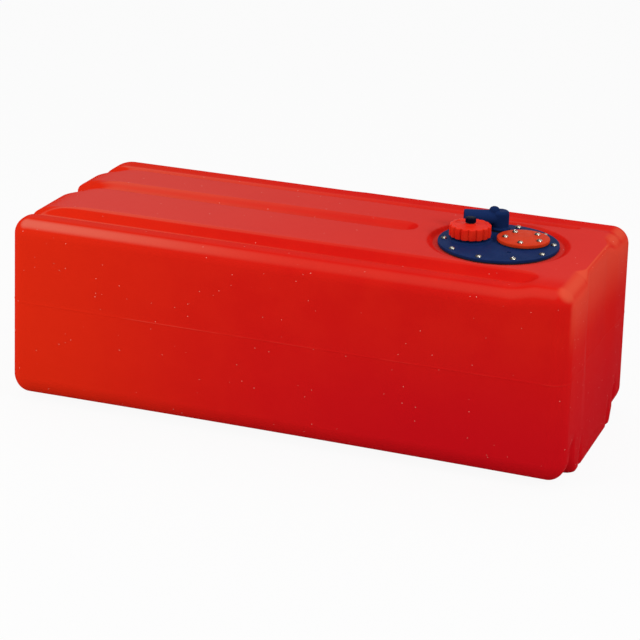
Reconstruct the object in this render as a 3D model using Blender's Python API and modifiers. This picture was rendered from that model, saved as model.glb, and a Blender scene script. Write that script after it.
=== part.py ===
"""Fixed boat fuel tank: a rotomoulded shell with a round plate for filler cap, vent elbow and sender blank.

Metres, +Z up. The origin is under the middle of the shell, on the surface that the tank stands on.
"""

import math

import bmesh
import bpy
from mathutils import Matrix, Vector

# Shell
tank_length = 0.880
tank_depth = 0.377
tank_height = 0.300
wall = 0.0045
draft_inset = 0.004
edge_radius = 0.027
base_edge_height = 0.032
parting_height = 0.158
least_station_gap = 0.0022

# Long soft fall of the upper lands towards the left end, and the tight corners of the right end panel
land_fall_length = 0.108
land_fall_height = 0.027
groove_fall_length = 0.085
groove_fall_height = 0.050
back_ridge_fall = 0.050
panel_edge_radius = 0.011
base_corner_radius = 0.006
panel_front_y = -0.078
panel_back_y = 0.076
panel_blend = 0.022
panel_recess = 0.006
base_land_front_y = -0.112
base_land_back_y = 0.108
base_notch_front_y = -0.080
base_notch_back_y = 0.087
base_notch_half = 0.010
base_notch_depth = 0.004
base_notch_top = 0.075

# Lengthwise grooves: place, half width, depth, and the lower ridges that run outside them
front_groove_y = -0.134
front_groove_half = 0.018
front_groove_depth = 0.009
middle_groove_y = 0.0175
middle_groove_half = 0.0235
middle_groove_depth = 0.012
back_groove_y = 0.124
back_groove_half = 0.012
back_groove_depth = 0.007
front_land_y = -0.108
back_land_y = 0.116
ridge_blend = 0.022
front_ridge_drop = 0.008
back_ridge_drop = 0.0028
base_ridge_drop = 0.0088
base_ridge_bow = 0.002
outer_groove_to_end = 0.066
middle_groove_to_plate = 0.130
ridge_end_blend = 0.030
run_out_top = 0.030
run_out_fade = 0.036
ridge_fade_low = 0.070
ridge_fade_high = 0.018

# Round recess and opening under the fittings plate
plate_to_end = 0.163
plate_y = -0.0025
recess_depth = 0.005
recess_clearance = 0.006
recess_wall_width = 0.011
opening_radius = 0.0745
touch_gap = 0.0003
overrun = 0.004
weld_gap = 0.00001

# Plate stack
gasket_thickness = 0.0015
plate_radius = 0.090
plate_thickness = 0.004
plate_edge_radius = 0.0008
plate_screw_circle = 0.081
plate_screw_count = 10
plate_screw_start_deg = 12.9
ring_thickness = 0.004
ring_lip = 0.001
ring_outer_radius = 0.0875

# Screws
screw_radius = 0.0021
screw_head_radius = 0.0044
screw_head_height = 0.0026
screw_tip_length = 0.0012
cross_length = 0.0046
cross_width = 0.0011
cross_depth = 0.0014
plate_slot_deg = 25.0
plate_slot_step_deg = 47.0
blank_slot_deg = 10.0
blank_slot_step_deg = 61.0

# Filler neck and cap
filler_dx = -0.044
filler_dy = -0.0015
neck_bore_radius = 0.0195
neck_outer_radius = 0.0235
neck_drop = 0.010
boss_radius = 0.034
boss_height = 0.0018
cap_radius = 0.0312
cap_height = 0.0172
cap_clearance = 0.0045
cap_bore_radius = 0.0252
cap_top_thickness = 0.0032
cap_edge_radius = 0.0012
cap_lobes = 16
cap_lobe_depth = 0.0017
seal_thickness = 0.0016
hub_radius = 0.0092
hub_height = 0.0022

# Vent knob in the cap
knob_radius = 0.0082
knob_height = 0.0074
knob_edge_radius = 0.0012
knob_lobes = 8
knob_lobe_depth = 0.0006
knob_stem_radius = 0.0030
knob_foot_radius = 0.0046
knob_foot_thickness = 0.0012
knob_foot_travel = 0.0030
vent_seal_radius = 0.0066
vent_seal_thickness = 0.0008

# Vent elbow
elbow_dx = -0.015
elbow_dy = 0.0585
elbow_body_radius = 0.0130
elbow_body_fillet = 0.0045
elbow_collar_radius = 0.0160
elbow_collar_height = 0.0030
elbow_axis_height = 0.0172
elbow_tube_radius = 0.0115
elbow_tube_length = 0.055
elbow_tube_chamfer = 0.0012
elbow_bore_radius = 0.0082
elbow_tail_radius = 0.0100
elbow_tail_length = 0.0085
elbow_turn_deg = 200.0
elbow_roof = 0.0022
dome_radius = 0.0080
dome_offset = 0.0097
dome_rise = 0.0060
elbow_seal_thickness = 0.0010

# Sender blank
sender_dx = 0.0328
sender_dy = 0.017
sender_hole_radius = 0.0205
blank_radius = 0.0392
blank_thickness = 0.0047
blank_edge_radius = 0.0009
blank_gasket_thickness = 0.0010
blank_screw_circle = 0.027
blank_screw_angles_deg = (-15.0, 56.0, 133.0, 198.0, 275.0)
blank_screw_length = 0.0118

# Blind mark on the plate
mark_dx = 0.0273
mark_dy = -0.0412
mark_radius = 0.0032
mark_depth = 0.0016

# Counts and shares of the sizes that they follow
rounding_shares = (0.55, 1.0)
fall_shares = (0.4, 0.6, 0.8, 1.0)
groove_shares = (-1.0, -0.5, 0.0, 0.5, 1.0)
groove_end_shares = (0.0, 0.6, 1.0)
cavity_fall_shares = (0.6, 1.0)
cavity_groove_shares = (-1.0, 0.0, 1.0)
cavity_end_shares = (0.0, 1.0)
groove_margin_share = 1.2
recess_wall_shares = ((0.0, 0.0), (0.22, 0.10), (0.5, 0.5), (0.78, 0.9), (1.0, 1.04))
fillet_steps = 3
flat_angle_deg = 0.05
large_steps = 48
medium_steps = 32
small_steps = 8
lobe_points = 4

# Heights worked out from the sizes above
recess_floor_z = tank_height - recess_depth
plate_bottom_z = recess_floor_z + gasket_thickness + 2 * touch_gap
plate_top_z = plate_bottom_z + plate_thickness
wall_inner_z = recess_floor_z - wall
blank_top_z = plate_top_z + blank_gasket_thickness + blank_thickness + 2 * touch_gap
neck_height = cap_clearance + cap_height - cap_top_thickness - seal_thickness - 2 * touch_gap
screw_hole_radius = screw_radius + touch_gap

half_length = tank_length / 2
half_depth = tank_depth / 2
plate_x = half_length - plate_to_end
recess_floor_radius = plate_radius + recess_clearance
outer_groove_end_x = half_length - outer_groove_to_end
middle_groove_end_x = plate_x - middle_groove_to_plate


def clear_scene():
    for thing in list(bpy.data.objects):
        bpy.data.objects.remove(thing, do_unlink=True)


clear_scene()
parts = bpy.data.collections.new("boat_fuel_tank")
cutters = bpy.data.collections.new("cutters")
bpy.context.scene.collection.children.link(parts)
bpy.context.scene.collection.children.link(cutters)
cutters.hide_render = True


def make_material(name, color, roughness, metallic=0.0):
    material = bpy.data.materials.new(name)
    material.use_nodes = True
    shader = material.node_tree.nodes["Principled BSDF"]
    shader.inputs["Base Color"].default_value = (*color, 1.0)
    shader.inputs["Roughness"].default_value = roughness
    shader.inputs["Metallic"].default_value = metallic
    material.diffuse_color = (*color, 1.0)
    return material


def smooth_step(low, high, value):
    share = min(max((value - low) / (high - low), 0.0), 1.0)
    return share * share * (3 - 2 * share)


def mix(first, second, share):
    return first + (second - first) * share


# Objects, modifiers and cutters


def place(name, mesh, material, collection=parts, location=(0.0, 0.0, 0.0), turn=0.0):
    thing = bpy.data.objects.new(name, mesh)
    collection.objects.link(thing)
    thing.location = location
    thing.rotation_euler = (0.0, 0.0, turn)
    if material is not None:
        mesh.materials.clear()
        mesh.materials.append(material)
    if collection is cutters:
        thing.hide_render = True
        thing.display_type = "WIRE"
    return thing


def profile_mesh(name, points, closed):
    """An outline in the XZ plane, as (radius, height) pairs."""
    mesh = bpy.data.meshes.new(name)
    edges = [(i, i + 1) for i in range(len(points) - 1)]
    if closed:
        edges.append((len(points) - 1, 0))
    mesh.from_pydata([(r, 0.0, z) for r, z in points], edges, [])
    return mesh


def add_turning(thing, steps):
    turning = thing.modifiers.new("turning", "SCREW")
    turning.axis = "Z"
    turning.angle = math.tau
    turning.steps = steps
    turning.render_steps = steps
    turning.use_merge_vertices = True
    turning.merge_threshold = weld_gap
    turning.use_smooth_shade = False


def turned(name, points, steps, material=None, collection=parts, location=(0, 0, 0), closed=False):
    """A turned piece: the outline runs down its outer side, and is closed for a ring."""
    thing = place(name, profile_mesh(name, points, closed), material, collection, location)
    add_turning(thing, steps)
    return thing


def cylinder(name, radius, low, high, steps, location, collection=cutters, material=None):
    points = [(0.0, high), (radius, high), (radius, low), (0.0, low)]
    return turned(name, points, steps, material, collection, location)


def holes(name, places, radius, low, high, location):
    """One cutter with a round bar at each place."""
    shape = bmesh.new()
    for dx, dy in places:
        bmesh.ops.create_cone(
            shape, cap_ends=True, segments=small_steps, radius1=radius, radius2=radius, depth=high - low,
            matrix=Matrix.Translation((dx, dy, (high + low) / 2)),
        )
    mesh = bpy.data.meshes.new(name)
    shape.to_mesh(mesh)
    shape.free()
    return place(name, mesh, None, cutters, location)


def boolean(thing, other, operation="DIFFERENCE"):
    change = thing.modifiers.new(operation.lower() + "_" + other.name, "BOOLEAN")
    change.operation = operation
    change.solver = "EXACT"
    change.object = other


def evaluated_mesh(thing, name):
    bpy.context.view_layer.update()
    graph = bpy.context.evaluated_depsgraph_get()
    mesh = bpy.data.meshes.new_from_object(thing.evaluated_get(graph))
    mesh.name = name
    return mesh


def fillet(centre_r, centre_z, radius, start_deg, end_deg):
    """Points of an arc in the outline, from one angle to the other."""
    points = []
    for i in range(fillet_steps + 1):
        angle = math.radians(mix(start_deg, end_deg, i / fillet_steps))
        points.append((centre_r + radius * math.cos(angle), centre_z + radius * math.sin(angle)))
    return points


def plate_place(dx, dy, z):
    return (plate_x + dx, plate_y + dy, z)


def screw_places():
    step = 360 / plate_screw_count
    angles = [math.radians(plate_screw_start_deg + i * step) for i in range(plate_screw_count)]
    return [(plate_screw_circle * math.cos(a), plate_screw_circle * math.sin(a)) for a in angles]


def blank_screw_places():
    angles = [math.radians(a) for a in blank_screw_angles_deg]
    return [
        (sender_dx + blank_screw_circle * math.cos(a), sender_dy + blank_screw_circle * math.sin(a))
        for a in angles
    ]


# Shell shape: a box cut at stations, whose points are then moved onto the moulded form

grooves = (
    (front_groove_y, front_groove_half, front_groove_depth, outer_groove_end_x),
    (middle_groove_y, middle_groove_half, middle_groove_depth, middle_groove_end_x),
    (back_groove_y, back_groove_half, back_groove_depth, outer_groove_end_x),
)


def on_lands(y):
    """1 on the flat lands between the two outer ridges, falling to 0 on the ridges."""
    front = smooth_step(front_land_y - ridge_blend, front_land_y, y)
    back = smooth_step(-back_land_y - ridge_blend, -back_land_y, -y)
    return front * back


def on_panel(y):
    front = smooth_step(panel_front_y - panel_blend / 2, panel_front_y + panel_blend / 2, y)
    back = smooth_step(-panel_back_y - panel_blend, -panel_back_y + panel_blend, -y)
    return front * back


def groove_depth(x, y, on_base):
    """Depth of the grooves at a point; x is counted towards their closed ends."""
    depth = 0.0
    for centre_y, half_width, full_depth, end_x in grooves:
        end = outer_groove_end_x if on_base else end_x
        along = abs(x) if on_base and end_x == middle_groove_end_x else x
        past = max(along - (end - half_width), 0.0)
        away = math.hypot(past, y - centre_y) / half_width
        if away < 1:
            depth += full_depth * (0.5 + 0.5 * math.cos(math.pi * away))
    return depth


def base_corner(y):
    """1 where the right end meets the base lands in a tight corner."""
    front = smooth_step(base_land_front_y - panel_blend / 2, base_land_front_y + panel_blend / 2, y)
    back = smooth_step(-base_land_back_y - panel_blend / 2, -base_land_back_y + panel_blend / 2, -y)
    return front * back


def notch_depth(y, z):
    """Two short upright dents at the foot of the right end."""
    front = max(1 - abs(y - base_notch_front_y) / base_notch_half, 0.0)
    back = max(1 - abs(y - base_notch_back_y) / base_notch_half, 0.0)
    return base_notch_depth * max(front, back) * smooth_step(base_notch_top, 0.0, z)


def top_ridge_drop(x, y):
    end = smooth_step(outer_groove_end_x + ridge_end_blend / 2, outer_groove_end_x - ridge_end_blend, x)
    drop = front_ridge_drop * end if y < 0 else back_ridge_drop
    return drop * (1 - on_lands(y))


def base_ridge_drop_at(x, y):
    bow = base_ridge_bow * (1 - (x / half_length) ** 2)
    return (base_ridge_drop + bow) * (1 - on_lands(y))


def in_groove(y):
    """1 inside a groove, falling to 0 a little way past its sides."""
    shares = [1.0]
    for centre_y, half_width, full_depth, end_x in grooves:
        shares.append(smooth_step(half_width, half_width * groove_margin_share, abs(y - centre_y)))
    return 1 - min(shares)


def corner_radii(x, y, z):
    """Half axes along X and Z of the rounding nearest to this point."""
    if x < 0 and z > tank_height / 2:
        lands = on_lands(y)
        grooved = in_groove(y)
        ridge = edge_radius if y < 0 else back_ridge_fall
        length = mix(ridge, mix(land_fall_length, groove_fall_length, grooved), lands)
        height = mix(ridge, mix(land_fall_height, groove_fall_height, grooved), lands)
        return length, height
    if z > tank_height / 2:
        radius = mix(edge_radius, panel_edge_radius, on_panel(y)) if x > 0 else edge_radius
        return radius, radius
    tight = base_corner(y) if x > 0 else 0.0
    return mix(edge_radius, base_corner_radius, tight), mix(base_edge_height, base_corner_radius, tight)


def inner_point(value, low, high, radius_low, radius_high):
    return min(max(value, low + radius_low), high - radius_high)


def shell_point(point, inset):
    """Where a point of the plain box lies on the moulded shell, or on a form inset from it."""
    x, y, z = point
    radius_x, radius_z = corner_radii(x, y, z)
    radii = (radius_x, edge_radius, radius_z)
    near = Vector((
        inner_point(x, -half_length, half_length, radius_x, radius_x),
        inner_point(y, -half_depth, half_depth, edge_radius, edge_radius),
        inner_point(z, 0.0, tank_height, radius_z, radius_z),
    ))
    away = Vector([(value - close) / radius for value, close, radius in zip(point, near, radii)])
    away.normalize()
    normal = Vector([part / radius for part, radius in zip(away, radii)]).normalized()
    moved = near + Vector([part * radius for part, radius in zip(away, radii)]) - normal * inset
    from_top = tank_height - moved.z
    top_share = smooth_step(run_out_top + run_out_fade, run_out_top, from_top)
    base_share = smooth_step(run_out_top + run_out_fade, run_out_top, moved.z)
    top_ridge = smooth_step(ridge_fade_low, ridge_fade_high, from_top)
    base_ridge = smooth_step(ridge_fade_low, ridge_fade_high, moved.z)
    moved -= normal * groove_depth(x, y, False) * top_share
    moved -= normal * groove_depth(-x, y, True) * base_share
    moved.z -= top_ridge_drop(x, y) * top_ridge
    moved.z += base_ridge_drop_at(x, y) * base_ridge
    if x > 0:
        upper = smooth_step(0.0, tank_height, moved.z)
        moved.x -= panel_recess * on_panel(y) * upper * max(normal.x, 0.0)
        moved.x -= notch_depth(y, moved.z) * max(normal.x, 0.0)
    rise = moved.z / tank_height
    moved.x *= 1 - draft_inset / half_length * rise
    moved.y *= 1 - draft_inset / half_depth * rise
    return moved


def spaced(stations, low, high):
    """Stations in order, inside the box, with none nearer to the last than the least gap."""
    kept = [low]
    for station in sorted(stations):
        if station - kept[-1] > least_station_gap and high - station > least_station_gap:
            kept.append(station)
    return kept[1:]


def length_stations(fine):
    found = [outer_groove_end_x - ridge_end_blend]
    for share in rounding_shares:
        found.append(-half_length + share * edge_radius)
        found.append(half_length - share * edge_radius)
        found.append(half_length - share * panel_edge_radius)
        found.append(half_length - share * base_corner_radius)
    for share in fall_shares if fine else cavity_fall_shares:
        found.append(-half_length + share * land_fall_length)
    for centre_y, half_width, full_depth, end_x in grooves:
        for share in groove_end_shares if fine else cavity_end_shares:
            found.append(end_x - half_width * (1 - share))
            found.append(half_width * (1 - share) - outer_groove_end_x)
    return spaced(found, -half_length, half_length)


def depth_stations(fine):
    found = [panel_front_y - panel_blend / 2, panel_front_y + panel_blend / 2]
    found += [base_notch_front_y, base_notch_back_y, base_land_front_y + panel_blend / 2]
    found.append(middle_groove_y - middle_groove_half * groove_margin_share)
    found += [panel_back_y - panel_blend, panel_back_y, panel_back_y + panel_blend]
    found += [front_land_y, front_land_y - ridge_blend / 2, back_land_y]
    for share in rounding_shares:
        found.append(-half_depth + share * edge_radius)
        found.append(half_depth - share * edge_radius)
    for centre_y, half_width, full_depth, end_x in grooves:
        for share in groove_shares if fine else cavity_groove_shares:
            found.append(centre_y + share * half_width)
    return spaced(found, -half_depth, half_depth)


def height_stations():
    found = [parting_height]
    for share in rounding_shares:
        found.append(share * base_corner_radius)
        found.append(share * base_edge_height)
        found.append(tank_height - share * edge_radius)
        found.append(tank_height - share * panel_edge_radius)
    middle_fade = run_out_top + run_out_fade / 2
    for level in (middle_fade, run_out_top + run_out_fade):
        found.append(level)
        found.append(tank_height - level)
    return spaced(found, 0.0, tank_height)


def cut_at(shape, stations, axis):
    for station in stations:
        everything = shape.verts[:] + shape.edges[:] + shape.faces[:]
        centre = Vector((0.0, 0.0, 0.0))
        direction = Vector((0.0, 0.0, 0.0))
        centre[axis] = station
        direction[axis] = 1.0
        bmesh.ops.bisect_plane(shape, geom=everything, plane_co=centre, plane_no=direction)


def shell_mesh(name, inset):
    shape = bmesh.new()
    bmesh.ops.create_cube(shape, size=1.0)
    stretch = Matrix.Diagonal((tank_length, tank_depth, tank_height, 1.0))
    lift = Matrix.Translation((0.0, 0.0, tank_height / 2))
    bmesh.ops.transform(shape, matrix=lift @ stretch, verts=shape.verts)
    cut_at(shape, length_stations(inset == 0), 0)
    cut_at(shape, depth_stations(inset == 0), 1)
    cut_at(shape, height_stations(), 2)
    for vertex in shape.verts:
        vertex.co = shell_point(vertex.co, inset)
    shape.normal_update()
    bmesh.ops.dissolve_limit(
        shape, angle_limit=math.radians(flat_angle_deg), verts=shape.verts[:], edges=shape.edges[:]
    )
    bmesh.ops.triangulate(shape, faces=shape.faces[:])
    mesh = bpy.data.meshes.new(name)
    shape.to_mesh(mesh)
    shape.free()
    return mesh


def make_tank_shell(material):
    shell = place("tank_shell", shell_mesh("tank_shell", 0.0), material)
    high = recess_depth + overrun
    low = -wall - overrun
    outline = [(0.0, high), (recess_floor_radius + recess_wall_width, high)]
    for along, up in reversed(recess_wall_shares):
        outline.append((recess_floor_radius + along * recess_wall_width, up * recess_depth))
    outline += [(opening_radius, 0.0), (opening_radius, low), (0.0, low)]
    floor_place = plate_place(0.0, 0.0, recess_floor_z)
    boolean(shell, turned("cut_recess", outline, large_steps, None, cutters, floor_place))
    boolean(shell, holes("cut_shell_holes", screw_places(), screw_hole_radius, low, high, floor_place))
    cavity = place("cut_cavity", shell_mesh("cut_cavity", wall), None, cutters)
    outline = [(0.0, high), (recess_floor_radius + recess_wall_width + wall, high)]
    outline += [(recess_floor_radius + wall, -wall), (0.0, -wall)]
    boolean(cavity, turned("cut_under_recess", outline, large_steps, None, cutters, floor_place))
    boolean(shell, cavity)
    return shell


# Plate stack


def ring_with_holes(name, inner, outer, low, high, places, centre, material, steps):
    """A flat ring with screw holes; heights are counted from the centre's own height."""
    outline = [(inner, high), (outer, high), (outer, low), (inner, low)]
    ring = turned(name, outline, steps, material, parts, centre, closed=True)
    boolean(ring, holes("cut_" + name, places, screw_hole_radius, low - overrun, high + overrun, centre))
    return ring


def make_backing_ring(material):
    high = wall_inner_z - touch_gap - recess_floor_z
    inner = opening_radius - ring_lip
    centre = plate_place(0.0, 0.0, recess_floor_z)
    return ring_with_holes(
        "backing_ring", inner, ring_outer_radius, high - ring_thickness, high,
        screw_places(), centre, material, large_steps,
    )


def make_plate_gasket(material):
    centre = plate_place(0.0, 0.0, recess_floor_z + touch_gap)
    return ring_with_holes(
        "plate_gasket", opening_radius, plate_radius - plate_edge_radius, 0.0, gasket_thickness,
        screw_places(), centre, material, large_steps,
    )


def make_top_plate(material):
    centre = plate_place(0.0, 0.0, plate_bottom_z)
    edge = plate_radius - plate_edge_radius
    outline = [(0.0, plate_thickness)]
    outline += fillet(edge, plate_thickness - plate_edge_radius, plate_edge_radius, 90, 0)
    outline += [(plate_radius, 0.0), (0.0, 0.0)]
    plate = turned("top_plate", outline, large_steps, material, parts, centre)
    sender_place = plate_place(sender_dx, sender_dy, plate_bottom_z)
    hole_high = plate_thickness + overrun
    sender_hole = cylinder(
        "cut_sender_hole", sender_hole_radius, -overrun, hole_high, medium_steps, sender_place
    )
    boolean(plate, sender_hole)
    elbow_place = plate_place(elbow_dx, elbow_dy, plate_bottom_z)
    tail_hole_radius = elbow_tail_radius + touch_gap
    elbow_hole = cylinder("cut_elbow_hole", tail_hole_radius, -overrun, hole_high, medium_steps, elbow_place)
    boolean(plate, elbow_hole)
    mark_place = plate_place(mark_dx, mark_dy, plate_top_z)
    mark = cylinder("cut_plate_mark", mark_radius, -mark_depth, overrun, small_steps, mark_place)
    boolean(plate, mark)
    all_places = screw_places() + blank_screw_places()
    boolean(plate, holes("cut_plate_holes", all_places, screw_hole_radius, -overrun, hole_high, centre))
    boss_outline = [(0.0, plate_thickness + boss_height)]
    boss_outline.append((boss_radius - boss_height, plate_thickness + boss_height))
    boss_low = plate_thickness - plate_edge_radius
    boss_outline += [(boss_radius, boss_low), (0.0, boss_low)]
    filler_place = plate_place(filler_dx, filler_dy, plate_bottom_z)
    boss = turned("join_filler_boss", boss_outline, medium_steps, None, cutters, filler_place)
    boolean(plate, boss, "UNION")
    neck_top = plate_thickness + neck_height
    neck = cylinder("join_filler_neck", neck_outer_radius, -neck_drop, neck_top, medium_steps, filler_place)
    boolean(plate, neck, "UNION")
    bore_low = -neck_drop - overrun
    bore_high = neck_top + overrun
    bore = cylinder("cut_filler_bore", neck_bore_radius, bore_low, bore_high, medium_steps, filler_place)
    boolean(plate, bore)
    return plate


# Screws


def screw_mesh(name, length):
    """A pan head screw with a cross recess; its seat is at height zero."""
    outline = [(0.0, screw_head_height)]
    side = math.pi / 2 / fillet_steps
    for i in range(1, fillet_steps + 1):
        radius = screw_head_radius * math.sin(i * side)
        outline.append((radius, screw_head_height * math.cos(i * side)))
    tip_radius = screw_radius - touch_gap
    outline += [(screw_radius, 0.0), (screw_radius, screw_tip_length - length)]
    outline += [(tip_radius, -length), (0.0, -length)]
    blank = turned(name + "_blank", outline, small_steps, None, cutters)
    for i in range(2):
        blade = bmesh.new()
        bmesh.ops.create_cube(blade, size=1.0)
        size = (cross_length, cross_width, 2 * cross_depth)
        box = Matrix.Translation((0.0, 0.0, screw_head_height)) @ Matrix.Diagonal((*size, 1.0))
        bmesh.ops.transform(blade, matrix=Matrix.Rotation(i * math.pi / 2, 4, "Z") @ box, verts=blade.verts)
        mesh = bpy.data.meshes.new(f"{name}_blade_{i + 1}")
        blade.to_mesh(mesh)
        blade.free()
        boolean(blank, place(f"cut_{name}_blade_{i + 1}", mesh, None, cutters))
    return evaluated_mesh(blank, name)


def make_plate_screws(material):
    length = plate_thickness + gasket_thickness + wall + ring_thickness + 4 * touch_gap + screw_tip_length
    mesh = screw_mesh("plate_screw", length)
    for i, (dx, dy) in enumerate(screw_places()):
        seat = plate_place(dx, dy, plate_top_z + touch_gap)
        turn = math.radians(plate_slot_deg + i * plate_slot_step_deg)
        place(f"plate_screw_{i + 1:02d}", mesh, material, parts, seat, turn)


def make_sender_screws(material):
    mesh = screw_mesh("sender_screw", blank_screw_length)
    for i, (dx, dy) in enumerate(blank_screw_places()):
        seat = plate_place(dx, dy, blank_top_z + touch_gap)
        turn = math.radians(blank_slot_deg + i * blank_slot_step_deg)
        place(f"sender_screw_{i + 1}", mesh, material, parts, seat, turn)


# Filler cap and its vent


def lobed(mesh, lobes, depth, least_radius):
    """Draws the outer points of a turned form in between its lobes."""
    for vertex in mesh.vertices:
        radius = math.hypot(vertex.co.x, vertex.co.y)
        if radius < least_radius:
            continue
        angle = math.atan2(vertex.co.y, vertex.co.x)
        inward = depth * (1 - abs(math.cos(lobes * angle / 2)))
        vertex.co.x *= (radius - inward) / radius
        vertex.co.y *= (radius - inward) / radius


def cap_place():
    return plate_place(filler_dx, filler_dy, plate_top_z + cap_clearance)


def make_filler_cap(material):
    outline = [(0.0, cap_height + hub_height), (hub_radius - cap_edge_radius, cap_height + hub_height)]
    outline += [(hub_radius, cap_height + hub_height - cap_edge_radius), (hub_radius, cap_height)]
    outline += fillet(cap_radius - cap_edge_radius, cap_height - cap_edge_radius, cap_edge_radius, 90, 0)
    outline += [(cap_radius, 0.0), (0.0, 0.0)]
    blank = turned("cap_blank", outline, cap_lobes * lobe_points, None, cutters)
    mesh = evaluated_mesh(blank, "filler_cap")
    lobed(mesh, cap_lobes, cap_lobe_depth, hub_radius + cap_edge_radius)
    cap = place("filler_cap", mesh, material, parts, cap_place())
    inside_top = cap_height - cap_top_thickness
    boolean(cap, cylinder("cut_cap_bore", cap_bore_radius, -overrun, inside_top, medium_steps, cap_place()))
    stem_hole = knob_stem_radius + touch_gap
    hole_high = cap_height + hub_height + overrun
    boolean(cap, cylinder("cut_cap_stem", stem_hole, 0.0, hole_high, small_steps, cap_place()))
    return cap


def make_cap_seal(material):
    inside_top = cap_height - cap_top_thickness
    high = inside_top - touch_gap
    outer = cap_bore_radius - touch_gap
    outline = [(neck_bore_radius, high), (outer, high), (outer, high - seal_thickness)]
    outline.append((neck_bore_radius, high - seal_thickness))
    return turned("cap_seal_ring", outline, medium_steps, material, parts, cap_place(), closed=True)


def make_vent_seal(material):
    low = cap_height + hub_height + touch_gap
    high = low + vent_seal_thickness
    inner = knob_stem_radius + touch_gap
    outline = [(inner, high), (vent_seal_radius, high), (vent_seal_radius, low), (inner, low)]
    return turned("vent_seal", outline, small_steps * 2, material, parts, cap_place(), closed=True)


def make_vent_knob(material):
    low = cap_height + hub_height + vent_seal_thickness + 2 * touch_gap
    high = low + knob_height
    foot_high = cap_height - cap_top_thickness - knob_foot_travel
    outline = [(0.0, high)]
    outline += fillet(knob_radius - knob_edge_radius, high - knob_edge_radius, knob_edge_radius, 90, 0)
    outline += [(knob_radius, low), (knob_stem_radius, low), (knob_stem_radius, foot_high)]
    outline += [(knob_foot_radius, foot_high), (knob_foot_radius, foot_high - knob_foot_thickness)]
    outline.append((0.0, foot_high - knob_foot_thickness))
    blank = turned("knob_blank", outline, knob_lobes * lobe_points, None, cutters)
    mesh = evaluated_mesh(blank, "vent_knob")
    lobed(mesh, knob_lobes, knob_lobe_depth, knob_foot_radius + touch_gap)
    return place("vent_knob", mesh, material, parts, cap_place())


# Vent elbow


def elbow_base_z():
    return plate_top_z + elbow_seal_thickness + 2 * touch_gap


def along_tube(name, outline, steps, collection, material=None):
    """A piece turned about the elbow's level tube; heights run out along the tube."""
    axis_z = elbow_base_z() + elbow_axis_height
    thing = turned(name, outline, steps, material, collection, plate_place(elbow_dx, elbow_dy, axis_z))
    thing.rotation_euler = (0.0, math.pi / 2, math.radians(elbow_turn_deg))
    return thing


def make_vent_elbow(material):
    base = plate_place(elbow_dx, elbow_dy, elbow_base_z())
    body_top = elbow_axis_height + elbow_tube_radius
    outline = [(0.0, body_top)]
    shoulder = elbow_body_radius - elbow_body_fillet
    outline += fillet(shoulder, body_top - elbow_body_fillet, elbow_body_fillet, 90, 0)
    outline += [(elbow_body_radius, elbow_collar_height), (elbow_collar_radius, elbow_collar_height)]
    outline += [(elbow_collar_radius, 0.0), (elbow_tail_radius, 0.0)]
    outline += [(elbow_tail_radius, -elbow_tail_length), (0.0, -elbow_tail_length)]
    elbow = turned("vent_elbow", outline, medium_steps, material, parts, base)
    tube_end = elbow_tube_length
    tube_outline = [(0.0, tube_end), (elbow_tube_radius - elbow_tube_chamfer, tube_end)]
    tube_outline.append((elbow_tube_radius, tube_end - elbow_tube_chamfer))
    tube_outline += [(elbow_tube_radius, 0.0), (0.0, 0.0)]
    boolean(elbow, along_tube("join_elbow_tube", tube_outline, medium_steps, cutters), "UNION")
    dome_side = math.pi / 2 / fillet_steps
    dome_outline = [(0.0, dome_rise)]
    for i in range(1, fillet_steps + 1):
        dome_outline.append((dome_radius * math.sin(i * dome_side), dome_rise * math.cos(i * dome_side)))
    dome_outline += [(dome_radius, -elbow_tube_radius), (0.0, -elbow_tube_radius)]
    turn = math.radians(elbow_turn_deg)
    dome_dx = elbow_dx + dome_offset * math.cos(turn)
    dome_dy = elbow_dy + dome_offset * math.sin(turn)
    dome_place = plate_place(dome_dx, dome_dy, elbow_base_z() + body_top)
    dome = turned("join_elbow_dome", dome_outline, small_steps * 2, None, cutters, dome_place)
    boolean(elbow, dome, "UNION")
    bore_top = elbow_axis_height + elbow_bore_radius - elbow_roof
    bore_low = -elbow_tail_length - overrun
    boolean(elbow, cylinder("cut_elbow_bore", elbow_bore_radius, bore_low, bore_top, medium_steps, base))
    level_bore = [(0.0, tube_end + overrun), (elbow_bore_radius, tube_end + overrun)]
    level_bore += [(elbow_bore_radius, 0.0), (0.0, 0.0)]
    boolean(elbow, along_tube("cut_elbow_level_bore", level_bore, medium_steps, cutters))
    return elbow


def make_elbow_seal(material):
    base = plate_place(elbow_dx, elbow_dy, plate_top_z + touch_gap)
    inner = elbow_tail_radius + touch_gap
    outline = [(inner, elbow_seal_thickness), (elbow_collar_radius, elbow_seal_thickness)]
    outline += [(elbow_collar_radius, 0.0), (inner, 0.0)]
    return turned("elbow_seal", outline, medium_steps, material, parts, base, closed=True)


# Sender blank


def blank_holes():
    return [(dx - sender_dx, dy - sender_dy) for dx, dy in blank_screw_places()]


def make_sender_gasket(material):
    centre = plate_place(sender_dx, sender_dy, plate_top_z + touch_gap)
    return ring_with_holes(
        "sender_gasket", sender_hole_radius, blank_radius - blank_edge_radius, 0.0, blank_gasket_thickness,
        blank_holes(), centre, material, medium_steps,
    )


def make_sender_blank(material):
    centre = plate_place(sender_dx, sender_dy, blank_top_z - blank_thickness)
    edge = blank_radius - blank_edge_radius
    outline = [(0.0, blank_thickness)]
    outline += fillet(edge, blank_thickness - blank_edge_radius, blank_edge_radius, 90, 0)
    outline += [(blank_radius, 0.0), (0.0, 0.0)]
    blank = turned("sender_blank", outline, large_steps, material, parts, centre)
    high = blank_thickness + overrun
    boolean(blank, holes("cut_sender_blank", blank_holes(), screw_hole_radius, -overrun, high, centre))
    return blank


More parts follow.
